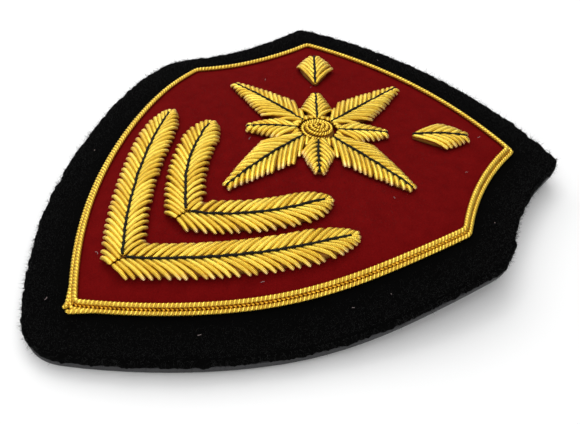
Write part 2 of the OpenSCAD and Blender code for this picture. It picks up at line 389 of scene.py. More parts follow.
class Value:
    """A number socket that takes part in Python arithmetic by adding Math nodes."""

    def __init__(self, recipe: Recipe, socket: bpy.types.NodeSocket) -> None:
        """Wrap a socket of a recipe's material."""
        self.recipe = recipe
        self.socket = socket

    def _with(self, operation: str, *others: Value | float, first: bool = True) -> Value:
        """Return a Math node's result with this value first or last."""
        values = [self, *others] if first else [*others, self]
        made = self.recipe.node("ShaderNodeMath", {"operation": operation}, dict(enumerate(values)))
        return Value(self.recipe, made.outputs[0])

    def __add__(self, other: Value | float) -> Value:
        """Return the sum."""
        return self._with("ADD", other)

    def __sub__(self, other: Value | float) -> Value:
        """Return the difference."""
        return self._with("SUBTRACT", other)

    def __rsub__(self, other: Value | float) -> Value:
        """Return the difference from a number."""
        return self._with("SUBTRACT", other, first=False)

    def __mul__(self, other: Value | float) -> Value:
        """Return the product."""
        return self._with("MULTIPLY", other)

    __radd__ = __add__
    __rmul__ = __mul__

    def sine(self) -> Value:
        """Return the sine of this value."""
        return self._with("SINE")

    def clamped(self) -> Value:
        """Return this value held between 0 and 1."""
        return self._with("MAXIMUM", 0.0)._with("MINIMUM", 1.0)


class Recipe:
    """Builds the nodes of one material."""

    def __init__(self, name: str) -> None:
        """Start a material with its Principled shader."""
        self.material = bpy.data.materials.new(name)
        self.material.use_nodes = True
        self.tree = self.material.node_tree
        self.shader = self.tree.nodes["Principled BSDF"]

    def node(
        self, kind: str, settings: dict[str, object], inputs: dict[object, object]
    ) -> bpy.types.Node:
        """Add a node.

        Args:
            kind: Blender's name of the node's type.
            settings: Properties, which are set first.
            inputs: Values or links of its sockets, by name or number.

        Returns:
            The node.
        """
        made = self.tree.nodes.new(kind)
        for name, value in settings.items():
            setattr(made, name, value)
        for name, value in inputs.items():
            self.fill(made.inputs[name], value)
        return made

    def fill(self, socket: bpy.types.NodeSocket, value: object) -> None:
        """Link a socket to a value, or set it to a number or colour.

        Args:
            socket: The socket.
            value: Value or socket to link, or number or colour to set.
        """
        if isinstance(value, Value):
            value = value.socket
        if isinstance(value, bpy.types.NodeSocket):
            self.tree.links.new(value, socket)
        else:
            socket.default_value = value

    def surface(self, **values: object) -> None:
        """Link or set sockets of the shader, by names with _ for a space."""
        for name, value in values.items():
            self.fill(self.shader.inputs[name.replace("_", " ")], value)

    def noise(self, scale: float, detail: float = 2, roughness: float = 0.5) -> Value:
        """Return noise on the object's own place, scale features to the millimetre."""
        place = self.node("ShaderNodeTexCoord", {}, {}).outputs["Object"]
        inputs = {"Vector": place, "Scale": scale / MM, "Detail": detail, "Roughness": roughness}
        return Value(self, self.node("ShaderNodeTexNoise", {}, inputs).outputs[0])

    def attribute(self, name: str) -> Value:
        """Return a number that the mesh carries."""
        return Value(self, self.node("ShaderNodeAttribute", {"attribute_name": name}, {}).outputs["Fac"])

    def along_strand(self) -> Value:
        """Return the place along a strand in millimetres."""
        uv = self.node("ShaderNodeUVMap", {"uv_map": "strand"}, {}).outputs[0]
        return Value(self, self.node("ShaderNodeSeparateXYZ", {}, {0: uv}).outputs[0])

    def mixed(self, share: Value, low: object, high: object) -> bpy.types.NodeSocket:
        """Return a colour between two colours, each a socket or three numbers."""
        low, high = ((*end, 1) if isinstance(end, tuple) else end for end in (low, high))
        return self.node("ShaderNodeMix", {"data_type": "RGBA"}, {0: share, 6: low, 7: high}).outputs[2]

    def bumped(self, height: Value, distance: float) -> None:
        """Bend the shader's normal by a height from 0 to 1, where 1 is a distance in millimetres."""
        made = self.node("ShaderNodeBump", {}, {"Height": height, "Distance": distance * MM, "Strength": 1.0})
        self.surface(Normal=made.outputs[0])


# Finishes


@dataclass(frozen=True)
class Finish:
    """The look of a surface.

    Attributes:
        name: Name of the material.
    """

    name: str

    @cache
    def material(self) -> bpy.types.Material:
        """Return the material, which is built on first use."""
        recipe = Recipe(self.name)
        self.dress(recipe)
        return recipe.material

    def dress(self, recipe: Recipe) -> None:
        """Fill in the material's shader."""
        raise NotImplementedError


@dataclass(frozen=True)
class GoldFinish(Finish):
    """Bright gilt wire.

    Attributes:
        dark: Colour where the tone is low.
        bright: Colour where the tone is high.
        tip: Colour of the stitches' cut ends, a painted highlight.
        roughness: How blurred the reflections are where the tone is high.
        dulling: How much more blurred they are where the tone is low.
        blotches: Blotches to the millimetre.
        weights: Weights of the turn's own shade and of the blotches in the tone, and what is taken off.
        coil_pitch: Length of the fine turns drawn by bump.
        coil_depth: Depth of the fine turns.
    """

    dark: Triple = (0.62, 0.34, 0.015)
    bright: Triple = (0.98, 0.73, 0.11)
    tip: Triple = (1.0, 0.80, 0.55)
    roughness: float = 0.29
    dulling: float = 0.12
    blotches: float = 0.9
    weights: Triple = (0.75, 0.6, 0.12)
    coil_pitch: float = 0.2
    coil_depth: float = 0.035

    def dress(self, recipe: Recipe) -> None:
        """Mix the gilt from the shade of its turns, blotches and a painted highlight on the ends.

        Args:
            recipe: The material's recipe.
        """
        shade, blotch, less = self.weights
        tone = recipe.attribute("shade") * shade + recipe.noise(self.blotches, 3) * blotch - less
        tone = tone.clamped()
        body = recipe.mixed(tone, self.dark, self.bright)
        # The stitches' ends are mixed towards the pale tip colour: a painted highlight
        recipe.surface(
            Metallic=1.0,
            Base_Color=recipe.mixed(recipe.attribute("tip"), body, self.tip),
            Roughness=self.roughness + (1 - tone) * self.dulling,
        )
        turns = (recipe.along_strand() * (2 * math.pi / self.coil_pitch)).sine() * 0.5 + 0.5
        recipe.bumped(turns, self.coil_depth)


@dataclass(frozen=True)
class ThreadFinish(Finish):
    """Plain spun thread.

    Attributes:
        low: Colour between the fibres.
        high: Colour of the fibres.
        roughness: How blurred its reflections are.
    """

    low: Triple
    high: Triple
    roughness: float = 0.8

    def dress(self, recipe: Recipe) -> None:
        """Mix the thread from its fibres."""
        fine = recipe.noise(5.0, 3)
        colour = recipe.mixed(fine.clamped(), self.low, self.high)
        recipe.surface(Base_Color=colour, Specular_IOR_Level=0.3, Roughness=self.roughness)
        recipe.bumped(fine, 0.06)


@dataclass(frozen=True)
class ClothFinish(Finish):
    """Cloth with clumps of fibres and broad patches, matt like wool felt.

    Attributes:
        low: Colour in its hollows.
        high: Colour of its raised parts.
        clumps: Clumps to the millimetre.
        patches: Patches to the millimetre.
        weights: Weights of the clumps and of the patches in the tone, and what is taken off.
        relief: Height of the clumps.
        clump_blend: Weight of the finest detail in the clumps.
        patch_detail: Levels of detail in the patches.
        shine: Strength of its reflections.
        roughness: How blurred they are in the hollows.
        dulling: How much more blurred they are on the raised parts.
    """

    low: Triple
    high: Triple
    clumps: float = 3.0
    patches: float = 0.36
    weights: Triple = (0.8, 0.6, 0.2)
    relief: float = 0.12
    clump_blend: float = 0.6
    patch_detail: float = 3
    shine: float = 0.02
    roughness: float = 1.0
    dulling: float = 0.0

    def dress(self, recipe: Recipe) -> None:
        """Mix the cloth from its clumps and patches.

        Args:
            recipe: The material's recipe.
        """
        clump, patch, less = self.weights
        fine = recipe.noise(self.clumps, 4, self.clump_blend)
        broad = recipe.noise(self.patches, self.patch_detail)
        tone = (fine * clump + broad * patch - less).clamped()
        colour = recipe.mixed(tone, self.low, self.high)
        rough = self.roughness + tone * self.dulling if self.dulling else self.roughness
        recipe.surface(Base_Color=colour, Specular_IOR_Level=self.shine, Roughness=rough)
        recipe.bumped(fine, self.relief)


CORD_GOLD = GoldFinish("gold_cord", dark=(0.6, 0.34, 0.016), coil_depth=0.0)
PURL_GOLD = GoldFinish("gold_purl")
# Couching gold is darker and oranger than the cords: painted shade and painted reflection of the groove
# between them
SHADED_COUCHING = GoldFinish("couching_wire", dark=(0.4, 0.18, 0.01), bright=(0.85, 0.5, 0.05), coil_depth=0.0)
# Padding thread is dark brown as painted shade, so that gaps between the stitches look shadowed
SHADED_PADDING = ThreadFinish("padding_thread", (0.14, 0.05, 0.004), (0.34, 0.15, 0.014))
CORE = ThreadFinish("core_thread", (0.45, 0.23, 0.02), (0.75, 0.46, 0.05))
VEIN = ThreadFinish("vein_thread", (0.002, 0.0015, 0.0005), (0.011, 0.008, 0.003), roughness=0.9)
FELT_NAP = ThreadFinish("black_nap", (0.0012, 0.0013, 0.0013), (0.006, 0.0062, 0.006))
FIELD_NAP = ThreadFinish("red_nap", (0.10, 0.002, 0.002), (0.22, 0.007, 0.006), roughness=0.9)
LINT = ThreadFinish("lint", (0.25, 0.18, 0.18), (0.5, 0.42, 0.42))
FELT = ClothFinish("black_felt", (0.0007, 0.0007, 0.0007), (0.0022, 0.0022, 0.0022))
FIELD = ClothFinish("red_cloth", (0.08, 0.0012, 0.0018), (0.18, 0.0045, 0.0045), 4.0, 0.48, relief=0.1)
BACKING = ClothFinish(
    "backing_cloth",
    (0.012, 0.012, 0.013),
    (0.045, 0.045, 0.048),
    clumps=2.5,
    patches=0.15,
    weights=(0.5, 0.5, 0),
    relief=0.04,
    clump_blend=0.5,
    patch_detail=2,
    shine=0.35,
    roughness=0.38,
    dulling=0.3,
)


# Meshes


def shown(name: str, data: bpy.types.ID) -> bpy.types.Object:
    """Return a new object of the scene that shows this data."""
    made = bpy.data.objects.new(name, data)
    bpy.context.scene.collection.objects.link(made)
    return made


@dataclass
class Piece:
    """One finished object of the scene.

    Attributes:
        name: Name of the object.
        finish: Look of its surface.
        slot: Material slot that it stands for.
        replaced: CAD nodes that it stands in for.
    """

    name: str
    finish: Finish
    slot: Slot | None = None
    replaced: tuple[str, ...] = ()

    def from_arrays(
        self,
        points: np.ndarray,
        faces: np.ndarray,
        uv: np.ndarray,
        weld: bool = False,
        **tones: np.ndarray,
    ) -> bpy.types.Object:
        """Join many copies of a form that operators made into one object.

        Args:
            points: Points in millimetres.
            faces: Rows of point numbers, padded with -1 where a face has fewer corners.
            uv: Place along and round each point's strand, which is kept where there are tones.
            weld: Whether copies that touch end to end are joined there, and open ends closed.
            **tones: Named tones from 0 to 1, one for each point.

        Returns:
            The object.
        """
        mesh = bpy.data.meshes.new(self.name)
        rows = [[int(i) for i in row if i >= 0] for row in faces]
        mesh.from_pydata((points * MM).tolist(), [], rows)
        if tones:
            layer = mesh.uv_layers.new(name="strand")
            corner = np.empty(len(mesh.loops), np.int32)
            mesh.loops.foreach_get("vertex_index", corner)
            layer.data.foreach_set("uv", uv[corner].astype(np.float32).ravel())
        for name, values in tones.items():
            tone = mesh.attributes.new(name, "FLOAT", "POINT")
            tone.data.foreach_set("value", values.astype(np.float32))
        if weld:
            bm = bmesh.new()
            bm.from_mesh(mesh)
            bmesh.ops.remove_doubles(bm, verts=bm.verts[:], dist=1e-7)
            bmesh.ops.holes_fill(bm, edges=[e for e in bm.edges if e.is_boundary])
            bmesh.ops.recalc_face_normals(bm, faces=bm.faces[:])
            bm.to_mesh(mesh)
            bm.free()
        return self._finished(mesh)

    def from_bmesh(self, bm: bmesh.types.BMesh) -> bpy.types.Object:
        """Make an object from a bmesh in millimetres, and free the bmesh.

        Args:
            bm: The bmesh.

        Returns:
            The object.
        """
        mesh = bpy.data.meshes.new(self.name)
        bmesh.ops.recalc_face_normals(bm, faces=bm.faces[:])
        bmesh.ops.scale(bm, vec=(MM, MM, MM), verts=bm.verts[:])
        bm.to_mesh(mesh)
        bm.free()
        return self._finished(mesh)

    def _finished(self, mesh: bpy.types.Mesh) -> bpy.types.Object:
        """Shade, dress and fasten a mesh to the patch.

        Args:
            mesh: The mesh.

        Returns:
            The object.
        """
        mesh.polygons.foreach_set("use_smooth", np.ones(len(mesh.polygons), bool))
        mesh.materials.append(self.finish.material())
        mesh.update()
        made = shown(self.name, mesh)
        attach(made, "root")
        if self.replaced:
            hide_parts(*self.replaced)
        LOG.info("%s: %d faces", self.name, len(mesh.polygons))
        return made


def ring_edges(bm: bmesh.types.BMesh, ring: list[bmesh.types.BMVert]) -> list[bmesh.types.BMEdge]:
    """Return the edges that join the points of a ring in order."""
    return [bm.edges.get(pair) for pair in zip(ring, ring[1:] + ring[:1])]


def body_through(rings: np.ndarray, fans: bool = False) -> bmesh.types.BMesh:
    """Extrude a closed body from ring to ring.

    Args:
        rings: For each ring, its points in order round the body.
        fans: Whether both ends are fans of triangles about a middle point.

    Returns:
        The body.
    """
    bm = bmesh.new()
    made = bmesh.ops.create_circle(bm, cap_ends=True, segments=rings.shape[1], radius=1)
    ring = sorted(made["verts"], key=lambda v: math.atan2(v.co.y, v.co.x))
    for number, points in enumerate(rings):
        if number:
            grown = bmesh.ops.extrude_edge_only(bm, edges=ring_edges(bm, ring))["geom"]
            fresh = {v for v in grown if isinstance(v, bmesh.types.BMVert)}
            ring = [next(e.other_vert(v) for e in v.link_edges if e.other_vert(v) in fresh) for v in ring]
        for vert, point in zip(ring, points):
            vert.co = point
    bmesh.ops.contextual_create(bm, geom=ring_edges(bm, ring))
    if fans:
        bmesh.ops.poke(bm, faces=[f for f in bm.faces if len(f.verts) > 4])
    return bm


# Strands


@dataclass
class Strand:
    """A short round strand that operators make once, straight, and that is then laid along many lines.

    Attributes:
        rows: Place and radius of each ring. Places 0 to 1 run along the line, and what is outside
            them is a rounded end, measured in radii.
        sides: Points round the strand.
    """

    rows: Rows
    sides: int

    def __post_init__(self) -> None:
        """Make the straight strand and keep its faces."""
        angle = 2 * math.pi * np.arange(self.sides) / self.sides
        ring = np.column_stack([np.zeros(self.sides), np.cos(angle), np.sin(angle)])
        bm = body_through(ring + np.arange(len(self.rows))[:, None, None] * [1, 0, 0])
        bmesh.ops.recalc_face_normals(bm, faces=bm.faces[:])
        bm.verts.index_update()
        corners = [[v.index for v in f.verts] for f in bm.faces]
        width = max(len(c) for c in corners)
        self.faces = np.array([c + [-1] * (width - len(c)) for c in corners])
        self.level = np.array([round(v.co.x) for v in bm.verts])
        self.ring = np.array([[v.co.y, v.co.z] for v in bm.verts])
        self.turn = np.array([math.atan2(v.co.z, v.co.y) / (2 * math.pi) for v in bm.verts])
        bm.free()

    @classmethod
    def plain(cls, rings: int, sides: int) -> Strand:
        """Return a strand of one thickness with flat ends."""
        return cls(tuple((share, 1.0) for share in np.linspace(0, 1, rings)), sides)

    def laid(
        self, lines: np.ndarray, half_w: float, half_h: float, spread: float = 0.0
    ) -> dict[str, np.ndarray]:
        """Lay a copy along each line.

        Args:
            lines: For each copy, one point for each row of the strand.
            half_w: Half the strand's width.
            half_h: Half its height.
            spread: Share by which the copies' thickness differs.

        Returns:
            The points, faces and strand places for a piece made from arrays.
        """
        count, level = len(lines), self.level
        steps = np.diff(lines, axis=1)
        along = unit(np.concatenate([steps[:, :1], lines[:, 2:] - lines[:, :-2], steps[:, -1:]], axis=1))
        side = unit(np.cross([0.0, 0.0, 1.0], along))
        up = np.cross(along, side)
        own = 1 + spread * np.random.default_rng(SEED + count).uniform(-1, 1, (count, 1, 1))
        radius = np.array(self.rows)[level, 1][None, :, None] * own
        points = (
            lines[:, level]
            + side[:, level] * self.ring[None, :, :1] * radius * half_w
            + up[:, level] * self.ring[None, :, 1:] * radius * half_h
        )
        run = np.cumsum(np.linalg.norm(steps, axis=2), axis=1)
        placed = np.concatenate([np.zeros((count, 1)), run], axis=1)
        uv = np.stack([placed[:, level], np.broadcast_to(self.turn, (count, len(level)))], axis=-1)
        shift = (np.arange(count) * len(level))[:, None, None]
        faces = np.where(self.faces >= 0, self.faces + shift, -1)
        faces = faces.reshape(-1, self.faces.shape[1])
        return {"points": points.reshape(-1, 3), "faces": faces, "uv": uv.reshape(-1, 2)}

    def line_shares(self) -> tuple[np.ndarray, np.ndarray]:
        """Return each row's place on the line from 0 to 1, and how many radii past its end it lies."""
        places = np.array(self.rows)[:, 0]
        inside = np.clip(places, 0, 1)
        return inside, places - inside


def thread_along(line: np.ndarray, radius: float) -> dict[str, np.ndarray]:
    """Lay a plain round thread along a line, in short lengths that touch end to end.

    Args:
        line: Points in space.
        radius: Radius of the thread.

    Returns:
        The points, faces, strand places and tones for a piece made from arrays.
    """
    steps = 8
    starts = np.arange(0, len(line) - steps, steps)
    lines = line[starts[:, None] + np.arange(steps + 1)]
    laid = Strand.plain(steps + 1, sides=6).laid(lines, radius, radius)
    plain = np.zeros(len(laid["points"]))
    return {**laid, "shade": plain, "tip": plain}


@dataclass(frozen=True)
class Cord:
    """Gold wires coiled round a core, laid along a line.

    Attributes:
        thickness: Outer diameter of the cord.
        ridge: Distance from one ridge to the next.
        wire_share: Radius of a wire as a share of that distance.
        plies: Number of wires.
        first_wire_tones: Least and most shade of the first wire's turns. On a cord of two wires they lie
            below the other wire's, painted shade that makes every other ridge look shaded.
        other_wire_tones: Least and most shade of the other wires' turns.
        core_share: Radius of the thread inside as a share of the thickness.
        steps: Straight pieces in one turn of a wire.
        sides: Points round a wire.
    """

    thickness: float = 0.92
    ridge: float = 0.65
    wire_share: float = 0.45
    plies: int = 1
    first_wire_tones: Pair = (0.4, 0.95)
    other_wire_tones: Pair = (0.65, 1)
    core_share: float = 0.39
    steps: int = 10
    sides: int = 6

    @property
    def core_radius(self) -> float:
        """Radius of the thread inside."""
        return self.thickness * self.core_share

    def _turn(self, ridge: float) -> tuple[np.ndarray, np.ndarray]:
        """Spin one turn of one wire about the X axis.

        Args:
            ridge: Distance from one ridge to the next.

        Returns:
            The points and the faces of an open tube.
        """
        wire = ridge * self.wire_share
        bm = bmesh.new()
        place = Matrix.Translation((0, 0, self.thickness / 2 - wire))
        upright = Matrix.Rotation(math.pi / 2, 4, "X")
        bmesh.ops.create_circle(bm, segments=self.sides, radius=wire, matrix=place @ upright)
        bmesh.ops.spin(
            bm,
            geom=bm.verts[:] + bm.edges[:],
            cent=(0, 0, 0),
            axis=(1, 0, 0),
            dvec=(ridge * self.plies / self.steps, 0, 0),
            angle=2 * math.pi,
            steps=self.steps,
            use_duplicate=False,
        )
        bm.verts.index_update()
        points = np.array([v.co for v in bm.verts])
        faces = np.array([[v.index for v in f.verts] for f in bm.faces])
        bm.free()
        return points, faces

    def along(self, line: np.ndarray, sideways: np.ndarray) -> dict[str, np.ndarray]:
        """Put turns end to end, and bend them along a line.

        Args:
            line: Points in space, close together. Where the last is the first, the cord is closed.
            sideways: Unit direction across the line at each point.

        Returns:
            The points, faces, strand places and tones for a piece made from arrays.
        """
        stations = run_lengths(line)
        closed = np.allclose(line[0], line[-1], atol=1e-6)
        length = stations[-1]
        count = int(length / self.ridge)
        ridge = length / count
        points, faces = self._turn(ridge)
        number = np.arange(count if closed else count - self.plies)[:, None, None]
        straight = (points + number * np.array([ridge, 0, 0])).reshape(-1, 3)
        place = straight[:, 0] % length if closed else np.clip(straight[:, 0], 0, length)
        bent = sampled(place, stations, line) + sampled(place, stations, sideways) * straight[:, 1:2]
        bent[:, 2] += straight[:, 2]
        random = np.random.default_rng(SEED + count)
        # On a cord of two wires the first wire's lower tones are painted shade, so the ridges look lit and
        # shaded in turn
        first = number.ravel() % self.plies == 0
        first_wire_tones, other_wire_tones = (random.uniform(*reach, len(first)) for reach in (self.first_wire_tones, self.other_wire_tones))
        return {
            "points": bent,
            "faces": (faces + number * len(points)).reshape(-1, faces.shape[1]),
            "uv": np.column_stack([place, np.zeros(len(place))]),
            "shade": np.repeat(np.where(first, first_wire_tones, other_wire_tones), len(points)),
            "tip": np.zeros(len(place)),
        }


# Flat layers


@dataclass
class Layer:
    """A flat closed body with the shield's outline, such as the felt.

    Attributes:
        edge: Its outline.
        base: Height of the surface that it lies on.
        thickness: Its full thickness.
        rows: Share of the way from the middle to the edge and share of the thickness, for each
            ring, from the middle of the face over the edge to the middle of the back.
        around: Points in a ring.
        fray: Unevenness of the edge.
        swell: Distance that the fluffy edge stands outside the outline.
        reaches: Points over which the fine and the broad unevenness run.
    """

    edge: Path
    base: Callable[[np.ndarray], np.ndarray]
    thickness: float
    rows: np.ndarray
    around: int = 360
    fray: float = 0.0
    swell: float = 0.0
    reaches: tuple[int, int] = (1, 4)

    def mesh(self) -> bmesh.types.BMesh:
        """Extrude the body from the middle of its face over the edge to the middle of its back.

        Returns:
            The body.
        """
        outline = self.edge.resampled(self.around)
        random = np.random.default_rng(SEED)
        places = np.linspace(0, outline.length, self.around, endpoint=False)
        uneven = sum(wander(random, self.around, reach) for reach in self.reaches)
        rim = outline.points + outline.outward(places) * (self.swell + uneven[:, None] * self.fray)
        flat = rim * self.rows[:, 0, None, None]
        height = self.base(flat) + self.thickness * self.rows[:, 1, None]
        return body_through(np.concatenate([flat, height[..., None]], axis=-1), fans=True)


@dataclass(frozen=True)
class Nap:
    """Short curved fibres of a cloth.

    Attributes:
        piece: What the fibres become.
        lengths: Least and most length.
        rises: Least and most climb of a fibre at its root, for one step sideways.
        rows: Place along a fibre and share of its radius there.
        radius: Radius at the root.
        curl: How far a fibre turns from the direction that it starts in.
    """

    piece: Piece
    lengths: Pair
    rises: Pair
    rows: Rows = ((0, 1), (1, 0.25))
    radius: float = 0.022
    curl: float = 0.55

    def grown(self, roots: np.ndarray, leans: np.ndarray, lengths: np.ndarray) -> bpy.types.Object:
        """Grow fibres.

        Args:
            roots: Where each fibre starts.
            leans: Direction that each fibre leaves in.
            lengths: Length of each fibre.

        Returns:
            The joined fibres.
        """
        random = np.random.default_rng(SEED + len(roots))
        turn = unit(leans + random.normal(0, self.curl, leans.shape))
        strand = Strand(self.rows, sides=3)
        t = strand.line_shares()[0][None, :, None]
        bend = leans[:, None] * t * (1 - t * 0.5) + turn[:, None] * t * t * 0.5
        lines = roots[:, None] + lengths[:, None, None] * bend
        return self.piece.from_arrays(**strand.laid(lines, self.radius, self.radius))

    def scattered(self, random: np.random.Generator, roots: np.ndarray) -> bpy.types.Object:
        """Grow fibres that lean every way, and return them joined."""
        count = len(roots)
        sideways = random.normal(0, 1, (count, 2))
        leans = unit(np.column_stack([sideways, random.uniform(*self.rises, count)]))
        return self.grown(roots, leans, random.uniform(*self.lengths, count))


@dataclass
class Cloths:
    """The backing, the felt and the red field.

    Attributes:
        shield: Form of the patch.
        field_face: Share of the way from the middle to the edge, and share of the field's thickness.
        field_fibres: Number of fibres on the red field.
        felt_fibres: Number of fibres on the felt's face.
        edge_fibres: Number of fibres on the felt's cut edge.
        clump: Number of them that leave the edge together.
        root: Depth in the felt that its fibres start at.
    """

    shield: Shield
    field_face: Rows = ((0, 1), (0.65, 1), (0.8, 0.97), (0.91, 0.8), (0.965, 0.52), (1, 0.45))
    field_fibres: int = 14000
    felt_fibres: int = 22000
    edge_fibres: int = 9000
    clump: int = 6
    root: float = 0.05

    def build(self) -> None:
        """Make the three layers and their nap."""
        shield = self.shield
        backing_h, felt_h, field_h = shield.layers
        layer = Layer(shield.felt_edge, shield.underside, backing_h, self._flat_rows(12, 0.006))
        backing = Piece("backing_cloth", BACKING, Slot.BACKING, ("backing",)).from_bmesh(layer.mesh())
        self._sheet(shield.felt_edge)
        rows = self._flat_rows(24, 0.014)
        layer = Layer(shield.felt_edge, shield.felt_base, felt_h, rows, around=800, fray=0.085, swell=0.25)
        felt = Piece("felt_shield", FELT, Slot.FELT, ("felt",)).from_bmesh(layer.mesh())
        self._sheet(shield.felt_edge, [self._felt_nap(), self._edge_nap()])
        layer = Layer(shield.field_edge, shield.field_base, field_h, self._field_rows(), around=400)
        red = Piece("field_cloth", FIELD, Slot.FIELD, ("field",)).from_bmesh(layer.mesh())
        self._sheet(shield.field_edge, [self._field_nap()])

    def _sheet(
        self, cut: Path, with_pieces: list | None = None
    ) -> None:
        """Measure the outline that a layer of cloth is cut to.

        Args:
            cut: The outline.
            with_pieces: Not used.
        """
        size = np.ptp(cut.points, axis=0) * MM

    @staticmethod
    def _flat_rows(rings: int, rounding: float) -> np.ndarray:
        """Return the rings of a flat layer with rounded edges.

        Args:
            rings: Rings on the face.
            rounding: How far in from the edge the rounding starts, as a share.

        Returns:
            Rows of share of the way out and share of the thickness.
        """
        middle, flat, back_rings = 0.04, 1 - rounding, 12
        face = [(share, 1.0) for share in np.linspace(middle, flat, rings)]
        bend = [
            (1 - rounding * (1 - math.sin(a)), 1 - 0.3 * (1 - math.cos(a)))
            for a in np.radians([30, 60, 90])
        ]
        edge = [(1.0, 0.4), (1 - rounding * 0.15, 0.12)]
        back = [(share, 0.0) for share in np.linspace(flat, middle, back_rings)]
        return np.array(face + bend + edge + back)

    def _field_rows(self) -> np.ndarray:
        """Return the rings of the red field, full in the middle and thin under the inner cord."""
        shares = np.concatenate([np.linspace(0.03, 0.6, 20), np.linspace(0.62, 0.998, 32)])
        heights = smoothed(np.pad(looked_up(self.field_face, shares), 2, mode="edge"))
        back = [(1.0, 0.3), (1.0, 0.05)] + [(share, 0.0) for share in np.linspace(0.99, 0.03, 12)]
        return np.vstack([np.column_stack([shares, heights]), back])

    def _field_nap(self) -> bpy.types.Object:
        """Lay very short nap on the red field.

        Returns:
            The joined fibres.
        """
        random = np.random.default_rng(SEED + 4)
        edge = self.shield.border(-0.9, 0.5)
        share = np.sqrt(random.uniform(0, 1, self.field_fibres))
        spot = edge.at(random.uniform(0, edge.length, self.field_fibres)) * share[:, None]
        top = self.shield.field_base(spot) + self.shield.layers[2] * looked_up(self.field_face, share) - 0.01
        piece = Piece("field_nap", FIELD_NAP, Slot.FIELD)
        nap = Nap(piece, (0.2, 0.55), (0.05, 0.35), rows=((0, 1), (1, 0.4)), radius=0.016)
        return nap.scattered(random, np.column_stack([spot, top]))

    def _felt_nap(self) -> bpy.types.Object:
        """Grow short nap on the felt's face outside the red field.

        Returns:
            The joined fibres.
        """
        random = np.random.default_rng(SEED + 1)
        places = random.uniform(0, 1, self.felt_fibres)
        inner, outer = self.shield.border(1.2, 0.8), self.shield.felt_edge
        low = inner.at(places * inner.length)
        high = outer.at(places * outer.length) - outer.outward(places * outer.length) * 0.15
        spot = low + (high - low) * np.sqrt(random.uniform(0.02, 1, (self.felt_fibres, 1)))
        top = self.shield.felt_base(spot) + self.shield.layers[1] - self.root
        nap = Nap(Piece("felt_nap_face", FELT_NAP, Slot.FELT), (0.25, 0.7), (0.25, 1.3))
        return nap.scattered(random, np.column_stack([spot, top]))

    def _edge_nap(self) -> bpy.types.Object:
        """Grow longer nap round the felt's cut edge, in small clumps.

        Returns:
            The joined fibres.
        """
        random = np.random.default_rng(SEED + 2)
        count, clumps = self.edge_fibres, self.edge_fibres // self.clump
        nap = Nap(
            Piece("felt_nap_edge", FELT_NAP, Slot.FELT),
            lengths=(0.2, 1.1),
            rises=(-0.3, 0.8),
            rows=((0, 1), (0.5, 0.8), (1, 0.2)),
        )
        outer = self.shield.felt_edge
        place = np.repeat(random.uniform(0, outer.length, clumps), self.clump)
        place += random.normal(0, 0.12, count)
        spot = outer.at(place) + outer.outward(place) * 0.1
        rise = self.shield.layers[1] * random.uniform(0.05, 1.0, count) ** 0.8
        roots = np.column_stack([spot, self.shield.felt_base(spot) + rise - self.root])
        out = np.column_stack([outer.outward(place), random.uniform(*nap.rises, count)])
        clump = np.repeat(random.normal(0, 0.5, (clumps, 3)), self.clump, axis=0)
        leans = unit(out + clump + random.normal(0, 0.25, (count, 3)))
        least, most = nap.lengths
        return nap.grown(roots, leans, least + (most - least) * random.uniform(0, 1, count) ** 3)


@dataclass
class Lint:
    """A few stray fibres lying on the patch.

    Attributes:
        shield: Form of the patch.
        on_field: Number of fibres on the red field.
        on_felt: Number of fibres on the felt.
        lengths: Least and most length of a fibre.
        curl: Spread of the angle that a fibre turns through, in radians.
        half: Half the width and half the height of a fibre.
    """

    shield: Shield
    on_field: int = 10
    on_felt: int = 7
    lengths: Pair = (0.25, 1.0)
    curl: float = 1.6
    half: Pair = (0.035, 0.03)

    def build(self) -> None:
        """Scatter the fibres."""
        shield = self.shield
        random = np.random.default_rng(SEED + 3)
        line = shield.border(-2.0, 0.8)
        rim = line.at(random.uniform(0, line.length, self.on_field))
        middle = shield.star_centre
        inner = middle + (rim - middle) * np.sqrt(random.uniform(0.1, 1, (self.on_field, 1)))
        line = shield.border(4.0, 0.8)
        outer = line.at(random.uniform(0, line.length, self.on_felt))
        on_field = shield.field_base(inner) + shield.layers[2] + 0.06
        on_felt = shield.felt_base(outer) + shield.layers[1] + 0.4
        roots = np.column_stack([np.vstack([inner, outer]), np.concatenate([on_field, on_felt])])
        count = len(roots)
        strand = Strand.plain(5, sides=4)
        share, _ = strand.line_shares()
        lean = random.uniform(0, 2 * math.pi, count)
        bend = lean[:, None] + random.normal(0, self.curl, (count, 1)) * share[None]
        steps = np.stack([np.cos(bend), np.sin(bend), np.zeros_like(bend)], axis=-1)
        lengths = random.uniform(*self.lengths, (count, 1, 1)) / len(share)
        lines = roots[:, None] + np.cumsum(steps * lengths, axis=1)
        Piece("lint", LINT).from_arrays(**strand.laid(lines, *self.half))


# Gold border


